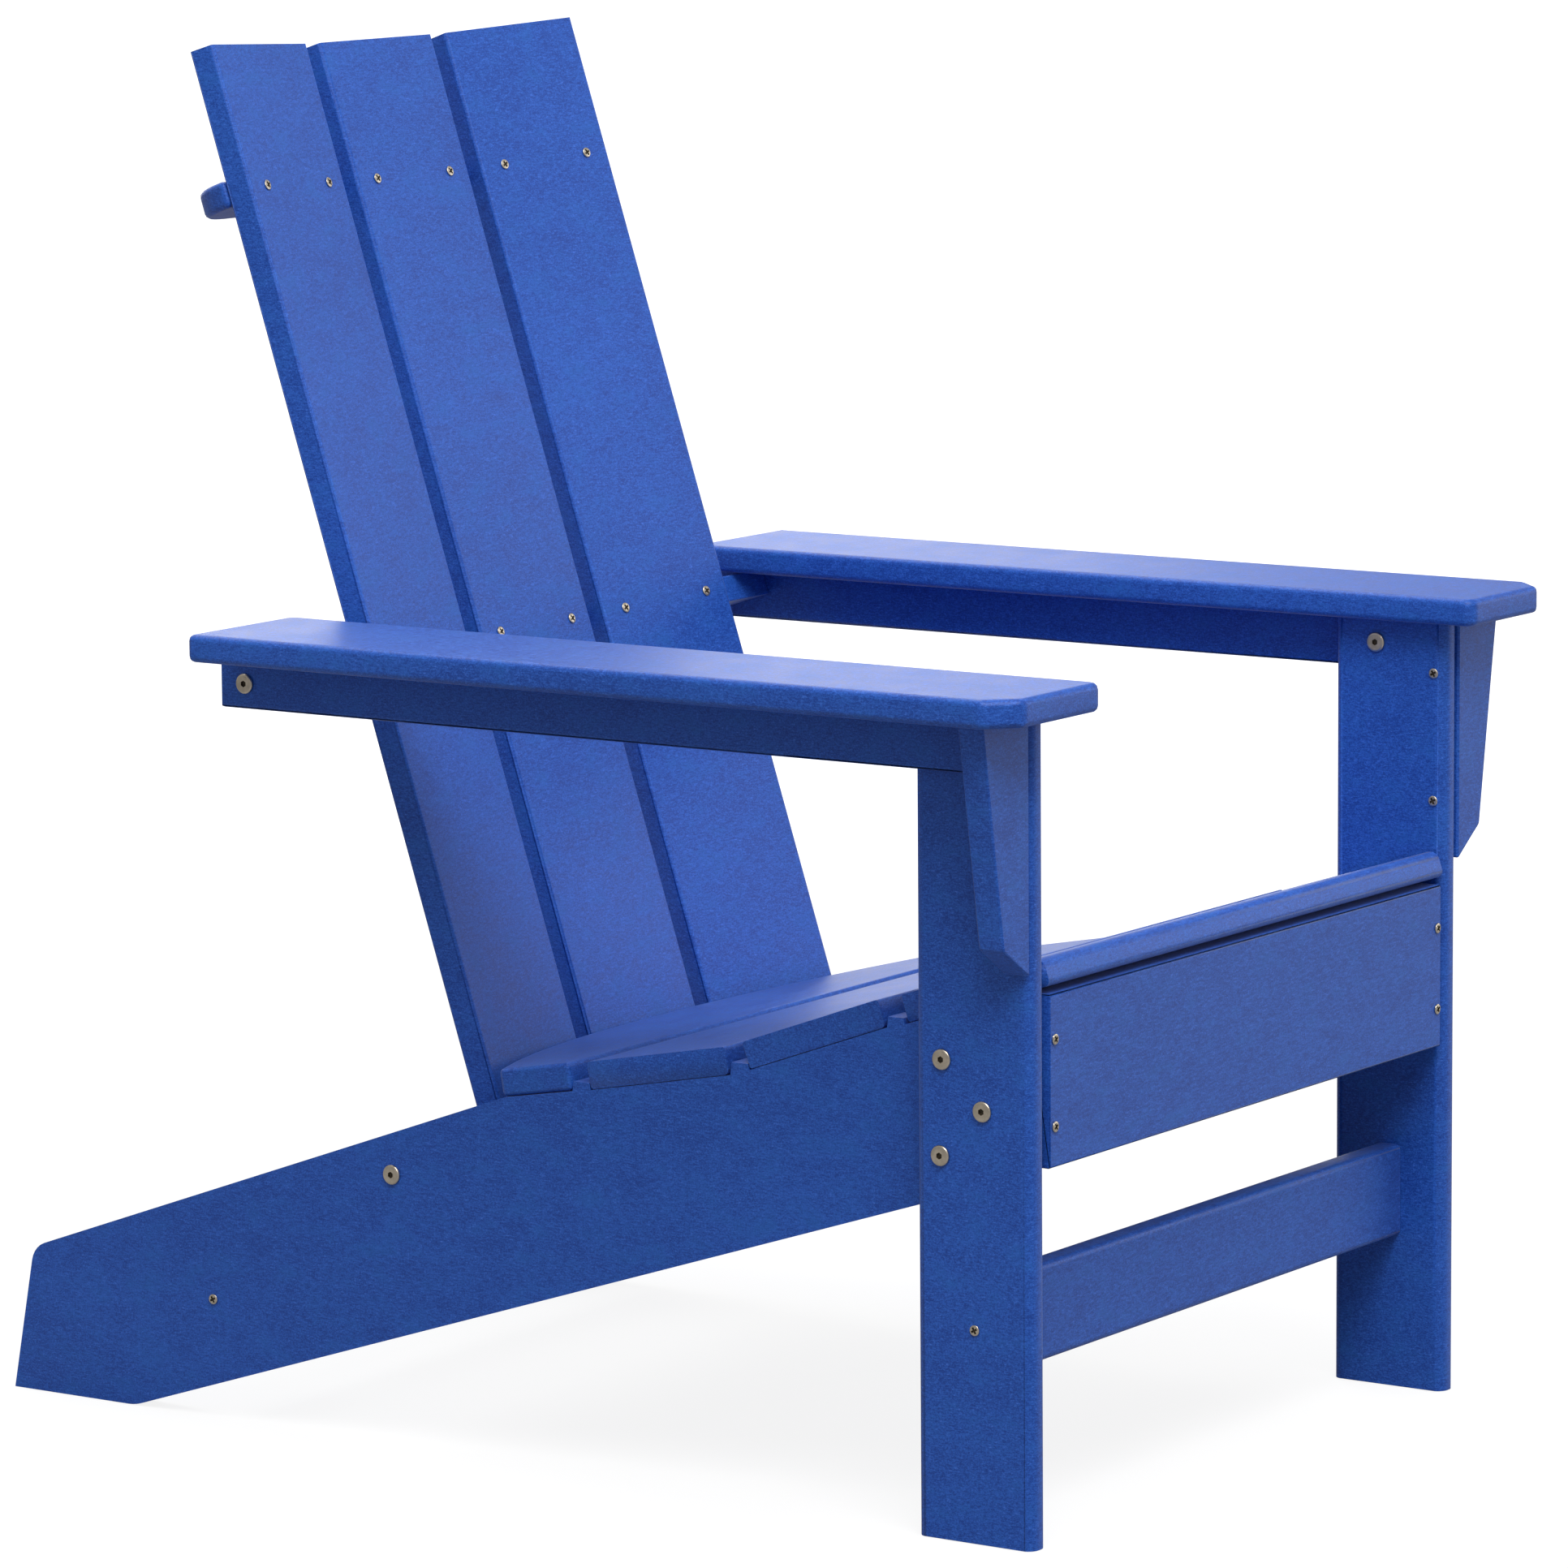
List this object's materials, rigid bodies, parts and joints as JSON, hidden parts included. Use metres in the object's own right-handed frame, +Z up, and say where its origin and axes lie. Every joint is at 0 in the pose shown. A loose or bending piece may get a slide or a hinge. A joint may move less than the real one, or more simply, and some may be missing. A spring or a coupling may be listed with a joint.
{
  "type": "adirondack chair",
  "caption": "Flat-pack adirondack garden chair of blue recycled-plastic boards with stainless bolts and screws: three-slat fanned back, bowed seat, wide flat arms.",
  "frame": {"origin": "centre of the bounding box on the ground", "axes": "+Z up, the sitter faces -Y, +X is the sitter's left"},
  "size_m": [0.7112, 0.8974, 0.9513],
  "materials": {
    "board": "satin, finely mottled royal blue, recycled polyethylene board",
    "hardware": "plain stainless steel, lightly brushed"
  },
  "bodies": {
    "root": {"apron": "board", "apron_screw_left_1": "hardware", "apron_screw_left_2": "hardware", "apron_screw_right_1": "hardware", "apron_screw_right_2": "hardware", "arm_back_brace": "board", "arm_brace_bolt_left": "hardware", "arm_brace_bolt_right": "hardware", "arm_bracket_left": "board", "arm_bracket_right": "board", "arm_left": "board", "arm_rail_bolt_left": "hardware", "arm_rail_bolt_right": "hardware", "arm_rail_left": "board", "arm_rail_right": "board", "arm_right": "board", "back_screw_left_arm_1": "hardware", "back_screw_left_arm_2": "hardware", "back_screw_left_upper_1": "hardware", "back_screw_left_upper_2": "hardware", "back_screw_middle_arm_1": "hardware", "back_screw_middle_arm_2": "hardware", "back_screw_middle_upper_1": "hardware", "back_screw_middle_upper_2": "hardware", "back_screw_right_arm_1": "hardware", "back_screw_right_arm_2": "hardware", "back_screw_right_upper_1": "hardware", "back_screw_right_upper_2": "hardware", "back_slat_left": "board", "back_slat_middle": "board", "back_slat_right": "board", "bracket_screw_left_1": "hardware", "bracket_screw_left_2": "hardware", "bracket_screw_right_1": "hardware", "bracket_screw_right_2": "hardware", "front_leg_left": "board", "front_leg_right": "board", "front_stretcher": "board", "front_stretcher_screw_left": "hardware", "front_stretcher_screw_right": "hardware", "leg_bolt_left_1": "hardware", "leg_bolt_left_2": "hardware", "leg_bolt_left_3": "hardware", "leg_bolt_right_1": "hardware", "leg_bolt_right_2": "hardware", "leg_bolt_right_3": "hardware", "lower_back_brace": "board", "lower_brace_bolt_left": "hardware", "lower_brace_bolt_right": "hardware", "rear_stretcher": "board", "rear_stretcher_screw_left": "hardware", "rear_stretcher_screw_right": "hardware", "seat_rail_left": "board", "seat_rail_right": "board", "seat_slat_front": "board", "seat_slat_mid_front": "board", "seat_slat_mid_rear": "board", "seat_slat_rear": "board", "upper_back_brace": "board"}
  },
  "joints": []
}
